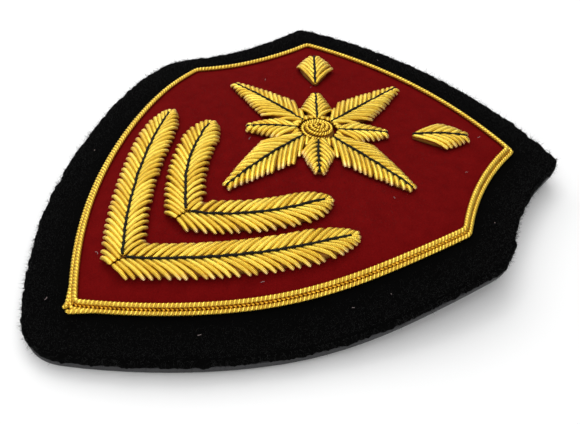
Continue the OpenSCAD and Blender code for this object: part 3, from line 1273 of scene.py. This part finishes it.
@dataclass
class Border:
    """Two coiled gold cords, stepped over the red field's edge, with couching stitches between in a darker
    gold that is painted shade.

    Attributes:
        shield: Form of the patch.
        cord: The cord.
        rim_share: Height of the red field's edge as a share of its thickness.
        outer_at: Distance of the outer cord outside that edge, and its height over the felt.
        inner_at: The same of the inner cord, and its height over the red field's edge.
        corner_cut: Length cut off each side of the cords' corners.
        couching_at: The same as inner_at, of the couching stitches.
        couching_step: Distance from one couching stitch to the next.
        couching_share: Length of a stitch without its ends as a share of that distance.
        couching_slant: How far a stitch runs outward over its length.
        couching_half: Half the width and half the height of a stitch.
        end_from: Distance from the tip at which a loose end leaves its cord.
        end_over: Distance that it runs on past the tip.
    """

    shield: Shield
    cord: Cord = Cord()
    rim_share: float = 0.45
    outer_at: Pair = (0.45, 0.42)
    inner_at: Pair = (-0.33, 0.48)
    corner_cut: float = 0.7
    couching_at: Pair = (0.02, 0.1)
    couching_step: float = 0.65
    couching_share: float = 0.72
    couching_slant: float = 0.3
    couching_half: Pair = (0.21, 0.19)
    end_from: float = 4.0
    end_over: float = 0.8

    def build(self) -> None:
        """Make the outer cord, the inner cord, the couching between them and the loose ends."""
        rim = self.shield.layers[2] * self.rim_share
        inner_out, inner_rise = self.inner_at
        for name, out, rise in (
            ("cord_outer", *self.outer_at),
            ("cord_inner", inner_out, rim + inner_rise),
        ):
            self._coiled(name + "_wires", name + "_core", *self._line(out, rise, 0.25), name)
        self._couching(rim)
        self._ends()

    def _line(self, out: float, rise: float, step: float) -> tuple[np.ndarray, np.ndarray]:
        """Return a line round the field and the direction across it.

        Args:
            out: Distance outside the field's edge.
            rise: Height over the felt's face.
            step: Distance between points.

        Returns:
            The points in space and the unit directions across.
        """
        path = self.shield.border(out, self.corner_cut)
        count = int(path.length / step) + 1
        places = path.length * 0.5 + np.linspace(0, path.length, count)
        flat = path.at(places)
        across = np.column_stack([path.outward(places, 0.3), np.zeros(count)])
        return np.column_stack([flat, self.shield.field_base(flat) + rise]), across

    def _coiled(self, name: str, core: str, line: np.ndarray, across: np.ndarray, *replaced: str) -> None:
        """Coil a cord over its core along a line, in place of CAD nodes.

        Args:
            name: Name of the coil.
            core: Name of the core.
            line: Points in space.
            across: Unit direction across the line at each point.
            *replaced: CAD nodes that the coil stands in for.
        """
        piece = Piece(name, CORD_GOLD, Slot.CORD, replaced)
        piece.from_arrays(**self.cord.along(line, across), weld=True)
        Piece(core, CORE, Slot.CORD).from_arrays(**thread_along(line, self.cord.core_radius))

    def _couching(self, rim: float) -> None:
        """Lay the short slanted stitches that hold the cords down between them, in a darker, oranger gold
        that paints the shade and reflected colour of the groove.

        Args:
            rim: Height of the red field's edge.
        """
        strand, end_radius = Strand(((-0.7, 0.5), (0, 1), (1, 1), (1.7, 0.5)), sides=6), 0.16
        out, rise = self.couching_at
        line, across = self._line(out, rim + rise, 0.05)
        share, caps = strand.line_shares()
        stations = run_lengths(line)
        starts = np.arange(0, stations[-1] - self.couching_step, self.couching_step)
        reach = self.couching_step * self.couching_share
        where = starts[:, None] + share * reach + caps * end_radius
        lines = sampled(where, stations, line)
        slant = (share - 0.5) * self.couching_slant
        lines[..., :2] += slant[None, :, None] * sampled(where, stations, across[:, :2])
        laid = strand.laid(lines, *self.couching_half)
        shade = np.repeat(np.random.default_rng(SEED).uniform(0, 1, len(lines)), len(strand.level))
        piece = Piece("border_couching", SHADED_COUCHING, Slot.CORD)
        piece.from_arrays(**laid, shade=shade, tip=np.zeros(len(shade)))

    def _ends(self) -> None:
        """Carry two loose ends of cord past the bottom tip, one over the other."""
        thickness, out, cut, beside = self.cord.thickness, self.outer_at[0], 0.1, 0.2
        cord_line = self.shield.border(out, cut)
        outer_line = self.shield.border(out + thickness * 0.7, cut)
        for hand in Hand:
            start = cord_line.at(self.end_from * hand.value)
            along = outer_line.at(beside * hand.value) - start
            run = np.linspace(0, np.linalg.norm(along) + self.end_over, 30)
            along = unit(along)
            flat = start + along * run[:, None]
            over = thickness if hand is Hand.LEFT else 0.0
            crossing = run[np.argmin(np.abs(flat[:, 0]))]
            rise = thickness / 2 + over * np.exp(-(((run - crossing) / thickness) ** 2))
            line = np.column_stack([flat, self.shield.field_base(flat) + rise])
            across = np.array([along[1], -along[0], 0]) + np.zeros_like(line)
            name = f"cord_end_{hand.name.lower()}"
            self._coiled(name, name + "_core", line, across)


# Gold purl


@dataclass
class Bar:
    """A padded bar of slanted gold purl on each side of a black vein.

    Attributes:
        node: CAD node that it replaces.
        vein: Line along its middle.
        rows: Place along the vein as a share, half width and height share, for each row.
        mitre: Side of the middle line that its start is cut to, or None.
        slant: Angle between its stitches and the vein, in degrees.
    """

    node: str
    vein: Path
    rows: np.ndarray
    mitre: Hand | None = None
    slant: float = 37

    def half_w(self, place: np.ndarray) -> np.ndarray:
        """Return the half width at distances along the vein."""
        return looked_up(self.rows, place / self.vein.length)

    def lift(self, place: np.ndarray) -> np.ndarray:
        """Return the height share at distances along the vein."""
        return looked_up(self.rows, place / self.vein.length, column=2)

    def spot(self, place: np.ndarray, across: np.ndarray) -> np.ndarray:
        """Return the plane points at distances along and across the vein."""
        return self.vein.at(place) + self.vein.outward(place) * np.asarray(across)[..., None]


@dataclass
class Emblem:
    """The star, the lozenges and the chevrons, as the part's source lays them out.

    Attributes:
        shield: Form of the patch.
        star_margin: Least clear red round the star.
        short_share: Length of a short ray as a share of a long one.
        ray_w_shares: Width of a long and a short ray as shares of their lengths.
        boss_share: Radius of the boss as a share of a long ray.
        lozenge: Place, length and width of a lozenge as shares of a long ray.
        lozenge_slant: Angle between a lozenge's stitches and its vein, in degrees.
        chevron_w: Width of a chevron bar.
        chevron_rise: Height of the lower chevron's point above the tip.
        chevron_step: Step up to the upper chevron.
        reaches: Distance of the lower and the upper chevron's ends from the middle line.
        chevron_bulge: Outward bulge of an arm.
        chevron_angle: Angle of the arms above level, in degrees.
        rays: Names of the rays, clockwise from the top.
        root_lift: Height share of a ray where it leaves the boss.
        ray_rows: Form of a ray from its widest place to its tip.
        lozenge_rows: Form of a lozenge.
        arm_rows: Form of a chevron's arm.
    """

    shield: Shield
    star_margin: float = 2
    short_share: float = 0.6
    ray_w_shares: Pair = (0.35, 0.41)
    boss_share: float = 0.15
    lozenge: Triple = (0.98, 0.48, 0.31)
    lozenge_slant: float = 31
    chevron_w: float = 6.4
    chevron_rise: float = 9.5
    chevron_step: float = 12.6
    reaches: Pair = (22, 14)
    chevron_bulge: float = 1.8
    chevron_angle: float = 51.5
    rays: tuple[str, ...] = ("n", "ne", "e", "se", "s", "sw", "w", "nw")
    root_lift: float = 0.9
    # Columns of all three: place along the bar, width and height, as shares
    ray_rows: Rows = ((0, 1, 1), (0.35, 0.72, 0.95), (0.7, 0.4, 0.8), (0.93, 0.17, 0.6), (1, 0.08, 0.45))
    lozenge_rows: Rows = (
        (0, 0.1, 0.5),
        (0.1, 0.32, 0.7),
        (0.3, 0.74, 0.92),
        (0.5, 1, 1),
        (0.7, 0.74, 0.92),
        (0.9, 0.32, 0.7),
        (1, 0.1, 0.5),
    )
    arm_rows: Rows = ((0, 1, 1), (0.8, 0.96, 1), (0.9, 0.8, 0.95), (0.97, 0.5, 0.8), (1, 0.25, 0.6))

    def __post_init__(self) -> None:
        """Work out the star's size from the room that it has."""
        slope = math.radians(self.chevron_angle)
        top = self.chevron_rise + self.chevron_step + self.chevron_w / 2 / math.cos(slope)
        shield = self.shield
        above, below = shield.field_h - shield.shoulder_rise, shield.shoulder_rise - top
        self.long_ray = min(above, shield.shoulder_w / 2, below) - self.star_margin
        self.boss_r = self.long_ray * self.boss_share

    def bars(self) -> list[Bar]:
        """Return all the bars.

        Returns:
            The rays, and then the lozenge and both arms of each side.
        """
        found = [self._ray(i) for i in range(len(self.rays))]
        for hand in Hand:
            found.append(self._lozenge(hand))
            found.append(self._arm("lower", hand, self.chevron_rise, self.reaches[0]))
            found.append(self._arm("upper", hand, self.chevron_rise + self.chevron_step, self.reaches[1]))
        return found

    @staticmethod
    def _straight(start: np.ndarray, end: np.ndarray) -> Path:
        """Return a straight open line."""
        return Path(start + (end - start) * np.linspace(0, 1, 40)[:, None], closed=False)

    def _ray(self, index: int) -> Bar:
        """Lay out one ray of the star, clockwise from the top.

        Args:
            index: Number of the ray.

        Returns:
            The ray.
        """
        turn = 2 * math.pi / len(self.rays) * index
        direction = np.array([math.sin(turn), math.cos(turn)])
        short = index % 2
        reach = self.long_ray * self.short_share if short else self.long_ray
        width = reach * self.ray_w_shares[short]
        spread = math.tan(math.pi / len(self.rays))
        root = self.boss_r + SEAM
        widest = (width / 2 + SEAM) / spread
        rows = np.array(self.ray_rows) * [1, width / 2, 1]
        rows[:, 0] = (widest + (reach - widest) * rows[:, 0] - root) / (reach - root)
        rows = np.vstack([[0, root * spread - SEAM, self.root_lift], rows])
        centre = self.shield.star_centre
        vein = self._straight(centre + direction * root, centre + direction * reach)
        return Bar("ray_" + self.rays[index], vein, rows)

    def _lozenge(self, hand: Hand) -> Bar:
        """Lay out the lozenge on one side.

        Args:
            hand: The side.

        Returns:
            The lozenge.
        """
        place, length, width = (self.long_ray * share for share in self.lozenge)
        direction = unit(np.array([hand.value, 1.0]))
        centre = self.shield.star_centre + direction * place
        vein = self._straight(centre - direction * length / 2, centre + direction * length / 2)
        rows = np.array(self.lozenge_rows) * [1, width / 2, 1]
        return Bar(f"lozenge_{hand.name.lower()}", vein, rows, slant=self.lozenge_slant)

    def _arm(self, tier: str, hand: Hand, rise: float, reach: float) -> Bar:
        """Lay out one arm of a chevron, from the middle line out and up.

        Args:
            tier: Which of the chevrons, as a word.
            hand: Side of the arm.
            rise: Height of the chevron's point above the tip.
            reach: Distance of the arm's end from the middle line.

        Returns:
            The arm.
        """
        start = self.shield.tip + [SEAM, rise]
        end = start + [reach, reach * math.tan(math.radians(self.chevron_angle))]
        points = np.vstack([bulged(start, end, self.chevron_bulge, 60), end])
        vein = Path(points * [hand.value, 1], closed=False)
        rows = np.array(self.arm_rows) * [1, self.chevron_w / 2, 1]
        return Bar(f"chevron_{tier}_{hand.name.lower()}", vein, rows, mitre=hand)


@dataclass
class PurlWork:
    """Dresses each bar with padding, slanted purl stitches and a black vein.

    Attributes:
        shield: Form of the patch.
        pad_h: Height of a bar over the red field.
        purl_w: Width of a purl stitch.
        pitch: Distance from the middle of one stitch to the next.
        purl_h: Height of a purl stitch.
        fan_run: Distance from a mitre over which the inner stitches turn to run along it.
        tip_run: Distance from the last stitch's start to the end of the vein.
        closing_from: Share of the vein from which the stitches turn towards its end.
        closing_turn: Share of their slant that they lose on the way.
        pad_back: Distance from the end of the vein back to the end of the padding.
        pad_share: Width of the padding as a share of the bar's.
        shortest: Length of the shortest stitch.
        corner_shortest: Length of the shortest stitch at the outer corner of two bars.
        slant_spread: Spread of the stitches' slants, in radians.
        start_spread: Spread of the places that they leave the vein at.
        end_spread: Most that a stitch is longer or shorter than its place asks.
        vein_half: Half the width and half the height of the vein's thread.
        vein_rise: Height of the thread's middle over the bar's face.
        vein_sways: How far it strays sideways and in height.
        section: Place across and height share of a bar's face.
    """

    shield: Shield
    pad_h: float = 1.7
    purl_w: float = 0.88
    pitch: float = 0.76
    purl_h: float = 0.7
    fan_run: float = 9
    tip_run: float = 1.1
    closing_from: float = 0.72
    closing_turn: float = 0.55
    pad_back: float = 0.45
    pad_share: float = 0.8
    shortest: float = 0.75
    corner_shortest: float = 1.35
    slant_spread: float = 0.015
    start_spread: float = 0.03
    end_spread: float = 0.12
    vein_half: Pair = (0.21, 0.19)
    vein_rise: float = 0.12
    vein_sways: Pair = (0.12, 0.06)
    section: Rows = ((0, 0.72), (0.15, 0.88), (0.45, 1), (0.8, 0.84), (1, 0.46))

    def __post_init__(self) -> None:
        """Make the straight stitch once."""
        body = tuple((share, 1.0) for share in (0, 0.2, 0.42, 0.64, 0.84, 1))
        self.stitch = Strand(((-0.7, 0.55),) + body + ((1.55, 0.8), (1.85, 0.35)), 7)
        self.random = np.random.default_rng(SEED + 7)

    def top(self, bar: Bar, place: np.ndarray, across: np.ndarray) -> np.ndarray:
        """Return the height of a bar's face at distances along and across its vein."""
        share = np.abs(across) / np.maximum(bar.half_w(place), self.purl_w * 0.65)
        profile = looked_up(self.section, np.clip(share, 0, 1))
        return self.shield.bar_base(bar.spot(place, across)) + self.pad_h * bar.lift(place) * profile

    def build(self, bar: Bar) -> None:
        """Dress one bar."""
        self._stitches(bar)
        self._padding(bar)
        self._vein(bar)

    def _starts(self, bar: Bar, side: int) -> Iterator[Pair]:
        """Yield the place along the vein and the slant of each stitch on one side of it.

        Args:
            bar: The bar.
            side: Side of the vein, -1 or 1.

        Yields:
            Each place and angle.
        """
        plain = math.radians(bar.slant)
        step = self.pitch / math.sin(plain)
        back = math.ceil(float(bar.half_w(np.array(0.0))) / math.tan(plain) / step)
        first = (0.5 if bar.mitre else 0.1) - back * step
        last = bar.vein.length - self.tip_run
        leaving = np.abs(bar.vein.direction(np.array(0.0)))
        fan = math.atan2(leaving[0], leaving[1]) - plain
        for start in np.linspace(first, last, round((last - first) / step) + 1):
            closing = (start / bar.vein.length - self.closing_from) / (1 - self.closing_from)
            slant = plain * (1 - self.closing_turn * float(np.clip(closing, 0, 1)))
            slant += self.random.normal(0, self.slant_spread)
            if bar.mitre and side == -bar.mitre.value:
                slant += fan * float(np.clip(1 - start / self.fan_run, 0, 1))
            yield start + min(self.random.normal(0, self.start_spread), 0.05), slant

    def _span(self, bar: Bar, start: float, slant: float, side: int) -> Pair:
        """Return where a stitch starts and ends on its own line.

        Args:
            bar: The bar.
            start: Place along the vein that the line leaves it at.
            slant: Angle to the vein.
            side: Side of the vein, -1 or 1.

        Returns:
            Both distances from the vein, the same where none of the line is inside the bar.
        """
        nearest, farthest, past_end = 0.3, 12, 0.2
        least_half, clear, held_back = (self.purl_w * share for share in (0.4, 0.3, 0.22))
        run = np.linspace(nearest, farthest, 600)
        place, across = start + run * math.cos(slant), run * math.sin(slant)
        inside = across <= np.maximum(bar.half_w(place), least_half)
        inside &= place <= bar.vein.length + past_end
        if bar.mitre:
            spots = bar.spot(place, side * across)
            inside &= spots[:, 0] * bar.mitre.value > SEAM + clear
        else:
            inside &= place > 0
        first = int(np.argmax(inside))
        gone = np.append(~inside[first:], True)
        last = first + int(np.argmax(gone)) - 1
        if last <= first:
            return 0.0, 0.0
        longer = self.random.uniform(-self.end_spread, self.end_spread)
        return float(run[first]), float(run[last]) - held_back + longer

    def _stitches(self, bar: Bar) -> None:
        """Lay the purl stitches from the vein out to both edges.

        Args:
            bar: The bar.
        """
        lines = []
        for side in (-1, 1):
            for start, slant in self._starts(bar, side):
                first, last = self._span(bar, start, slant, side)
                least = self.corner_shortest if bar.mitre and start < 0 else self.shortest
                if last - first > least:
                    lines.append(self._line(bar, start, slant, side, first, last))
        laid = self.stitch.laid(np.array(lines), self.purl_w / 2, self.purl_h / 2, spread=0.06)
        level = self.stitch.level
        shade = np.repeat(self.random.uniform(0.2, 1, len(lines)), len(level))
        # Painted highlight on the last rings of each stitch, strong on some and faint on others
        ends = np.clip(level - (len(self.stitch.rows) - 4), 0, 3) / 3
        tip = (ends * self.random.uniform(0.1, 1, (len(lines), 1))).ravel()
        piece = Piece(bar.node + "_purl", PURL_GOLD, Slot.PURL, (bar.node,))
        piece.from_arrays(**laid, shade=shade, tip=tip)

    def _line(
        self, bar: Bar, start: float, slant: float, side: int, first: float, last: float
    ) -> np.ndarray:
        """Return a point for each ring of a stitch, from its first to its last distance.

        Args:
            bar: The bar.
            start: Place along the vein that the stitch's line leaves it at.
            slant: Angle to the vein.
            side: Side of the vein, -1 or 1.
            first: Distance from the vein that the stitch starts at.
            last: Distance that it ends at.

        Returns:
            The points in space.
        """
        half, sunk, deepest = self.purl_w / 2, 0.1, self.purl_h * 0.45
        shares, caps = self.stitch.line_shares()
        along = first + (last - first) * shares + caps * half
        place, across = start + along * math.cos(slant), side * along * math.sin(slant)
        flat = bar.spot(place, across)
        sink = np.clip((along - last) / half, 0, 1) * sunk
        lowest = self.shield.bar_base(flat) + deepest
        height = np.maximum(self.top(bar, place, across) - self.purl_h / 2 - sink, lowest)
        return np.column_stack([flat, height])

    def _padding(self, bar: Bar) -> None:
        """Make the soft padding under the stitches, coloured dark brown as painted shade where gaps between
        them show it.

        Args:
            bar: The bar.
        """
        rings, points = 40, 13
        begin, end = 0.15, bar.vein.length - self.tip_run - self.pad_back
        mitre_gap, gap, thinnest, cover = 0.25, 0.02, 0.05, self.purl_h * 0.75
        place = np.linspace(begin, end, rings)[:, None] + np.zeros(points)
        across = np.linspace(-self.pad_share, self.pad_share, points) * bar.half_w(place)
        spots = bar.spot(place, across)
        if bar.mitre:
            hand = bar.mitre.value
            spots[..., 0] = hand * np.maximum(spots[..., 0] * hand, mitre_gap)
        low = self.shield.bar_base(spots) + gap
        high = np.maximum(self.top(bar, place, across) - cover, low + thinnest)
        face = np.concatenate([spots, high[..., None]], axis=-1)
        under = np.concatenate([spots, low[..., None]], axis=-1)
        body = body_through(np.concatenate([face, under[:, ::-1]], axis=1))
        piece = Piece(bar.node + "_padding", SHADED_PADDING, Slot.PURL)
        piece.from_bmesh(body)

    def _vein(self, bar: Bar) -> None:
        """Lay the black thread along the vein.

        Args:
            bar: The bar.
        """
        fewest, step, begin = 12, 0.3, 0.4 if bar.mitre else 0.1
        count = max(fewest, int(bar.vein.length / step))
        place = np.linspace(begin, bar.vein.length - self.tip_run, count)
        aside, lifted = (smoothed(self.random.normal(0, sway, count + 4)) for sway in self.vein_sways)
        height = self.top(bar, place, np.zeros(count)) + self.vein_rise + lifted
        line = np.column_stack([bar.spot(place, aside), height])[None]
        piece = Piece(bar.node + "_vein", VEIN, Slot.FELT)
        piece.from_arrays(**Strand.plain(count, sides=8).laid(line, *self.vein_half))


@dataclass
class Boss:
    """The round middle of the star: a two-wire cord wound in a spiral over a dome.

    Attributes:
        shield: Form of the patch.
        radius: Radius of the boss.
        height: Height of the dome.
        cord: The cord.
        dome: Share of the radius and share of the height there.
        pad_back: Distance from the boss's edge in to the padding's.
    """

    shield: Shield
    radius: float
    height: float = 2.2
    # The first wire's tones lie below the second's: painted shade on every other ridge
    cord: Cord = Cord(thickness=0.74, ridge=0.48, wire_share=0.4, plies=2, first_wire_tones=(0.1, 0.6), sides=5)
    dome: Rows = ((0, 1), (0.35, 0.93), (0.65, 0.76), (0.88, 0.48), (1, 0.2))
    pad_back: float = 0.45

    def top(self, radius: np.ndarray) -> np.ndarray:
        """Return the dome's height at distances from its middle."""
        return looked_up(self.dome, radius / self.radius) * self.height

    def build(self) -> None:
        """Wind the spiral and fill the dome under it."""
        half = self.cord.thickness / 2
        outer = self.radius - half
        turns = outer / self.cord.thickness
        share = np.sqrt(np.linspace(0.004, 1, 700))
        angle = 2 * math.pi * turns * share
        circle = np.column_stack([np.cos(angle), np.sin(angle)])
        flat = self.shield.star_centre + circle * (outer * share)[:, None]
        base = self.shield.bar_base(flat)
        height = np.maximum(base + self.top(outer * share) - half, base + half)
        across = np.column_stack([circle, np.zeros(len(flat))])
        line = np.column_stack([flat, height])
        piece = Piece("star_boss_coil", CORD_GOLD, Slot.PURL, ("star_boss",))
        piece.from_arrays(**self.cord.along(line, across), weld=True)
        self._padding()

    def _padding(self) -> None:
        """Make the soft dome under the spiral, round above and nearly flat below, dark brown as painted shade
        where the spiral's gaps show it.
        """
        bm = bmesh.new()
        bmesh.ops.create_uvsphere(bm, u_segments=32, v_segments=16, radius=self.radius - self.pad_back)
        bmesh.ops.scale(bm, vec=(1, 1, 0.5), verts=bm.verts[:])
        below = [v for v in bm.verts if v.co.z < 0]
        bmesh.ops.scale(bm, vec=(1, 1, 0.02), verts=below)
        base = float(self.shield.bar_base(self.shield.star_centre))
        bmesh.ops.translate(bm, verts=bm.verts[:], vec=(*self.shield.star_centre, base + 0.05))
        piece = Piece("star_boss_padding", SHADED_PADDING, Slot.PURL).from_bmesh(bm)


# Studio


@dataclass(frozen=True)
class Lamp:
    """A soft square light that faces the patch.

    Attributes:
        name: Name of the light.
        place: Its place in metres.
        size: Length of its side in metres.
        power: Its power in watts.
    """

    name: str
    place: Triple
    size: float
    power: float

    def hang(self) -> None:
        """Add the light to the scene."""
        data = bpy.data.lights.new(self.name, "AREA")
        data.size = self.size
        data.energy = self.power
        light = shown(self.name, data)
        light.location = self.place
        light.rotation_euler = Vector(self.place).to_track_quat("Z", "Y").to_euler()


@dataclass
class Studio:
    """Floor, lights and camera.

    Attributes:
        turn: Bearing of the camera from the front, in degrees.
        rise: Its angle above level, in degrees.
        distance: Its distance from what it looks at, in millimetres.
        roll: Its roll, in degrees.
        target: What it looks at, in millimetres.
        focal_px: Focal length in pixels of a picture as wide as the next value.
        width_px: Width of that picture.
        floor_half: Half the side of the floor, in metres.
        room_light: Strength of the even light from all round.
        lamps: The lights.
    """

    turn: float = 43.8
    rise: float = 43.66
    distance: float = 145.17
    roll: float = 1.69
    target: Triple = (7.18, -1.02, 3.8)
    focal_px: float = 877.45
    width_px: float = 580
    floor_half: float = 1.5
    room_light: float = 0.34
    lamps: tuple[Lamp, ...] = (
        Lamp("top", (-0.05, 0.0, 0.55), size=0.6, power=1.4),
        Lamp("key", (-0.30, 0.24, 0.42), size=0.48, power=1.3),
        Lamp("front", (0.34, -0.36, 0.30), size=0.7, power=2.0),
        Lamp("side", (-0.44, -0.02, 0.2), size=0.4, power=0.5),
    )

    def build(self) -> None:
        """Make the studio."""
        self._camera()
        self._floor()
        self._room()
        for lamp in self.lamps:
            lamp.hang()

    def _camera(self) -> None:
        """Place the camera at the photograph's angle."""
        turn, rise, roll = (math.radians(a) for a in (self.turn, self.rise, self.roll))
        turned = Matrix.Rotation(turn, 4, "Z") @ Matrix.Rotation(math.pi / 2 - rise, 4, "X")
        axes = turned @ Matrix.Rotation(roll, 4, "Z")
        back = axes.col[2].to_3d()
        data = bpy.data.cameras.new("camera")
        data.sensor_width = 36
        data.lens = data.sensor_width * self.focal_px / self.width_px
        data.clip_start = 0.005
        camera = shown("camera", data)
        place = (Vector(self.target) + back * self.distance) * MM
        camera.matrix_world = Matrix.Translation(place) @ axes
        bpy.context.scene.camera = camera

    def _floor(self) -> None:
        """Lay a wide pale floor."""
        bm = bmesh.new()
        bmesh.ops.create_grid(bm, x_segments=8, y_segments=8, size=self.floor_half)
        mesh = bpy.data.meshes.new("floor")
        bm.to_mesh(mesh)
        bm.free()
        recipe = Recipe("floor")
        recipe.surface(Base_Color=(0.9, 0.9, 0.9, 1), Roughness=0.8, Specular_IOR_Level=0.2)
        mesh.materials.append(recipe.material)
        shown("floor", mesh)

    def _room(self) -> None:
        """Fill the room with soft even light."""
        world = bpy.data.worlds.new("room")
        world.use_nodes = True
        background = world.node_tree.nodes["Background"]
        background.inputs["Color"].default_value = (1, 1, 1, 1)
        background.inputs["Strength"].default_value = self.room_light
        bpy.context.scene.world = world
        bpy.context.scene.view_settings.view_transform = "Standard"


def main() -> None:
    """Build the patch and its studio."""
    logging.basicConfig(level=logging.INFO, format="%(name)s %(message)s")
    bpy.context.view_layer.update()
    shield = Shield()
    Cloths(shield).build()
    Border(shield).build()
    emblem = Emblem(shield)
    purl = PurlWork(shield)
    for bar in emblem.bars():
        purl.build(bar)
    Boss(shield, emblem.boss_r).build()
    Lint(shield).build()
    Studio().build()


if __name__ == "__main__":
    main()
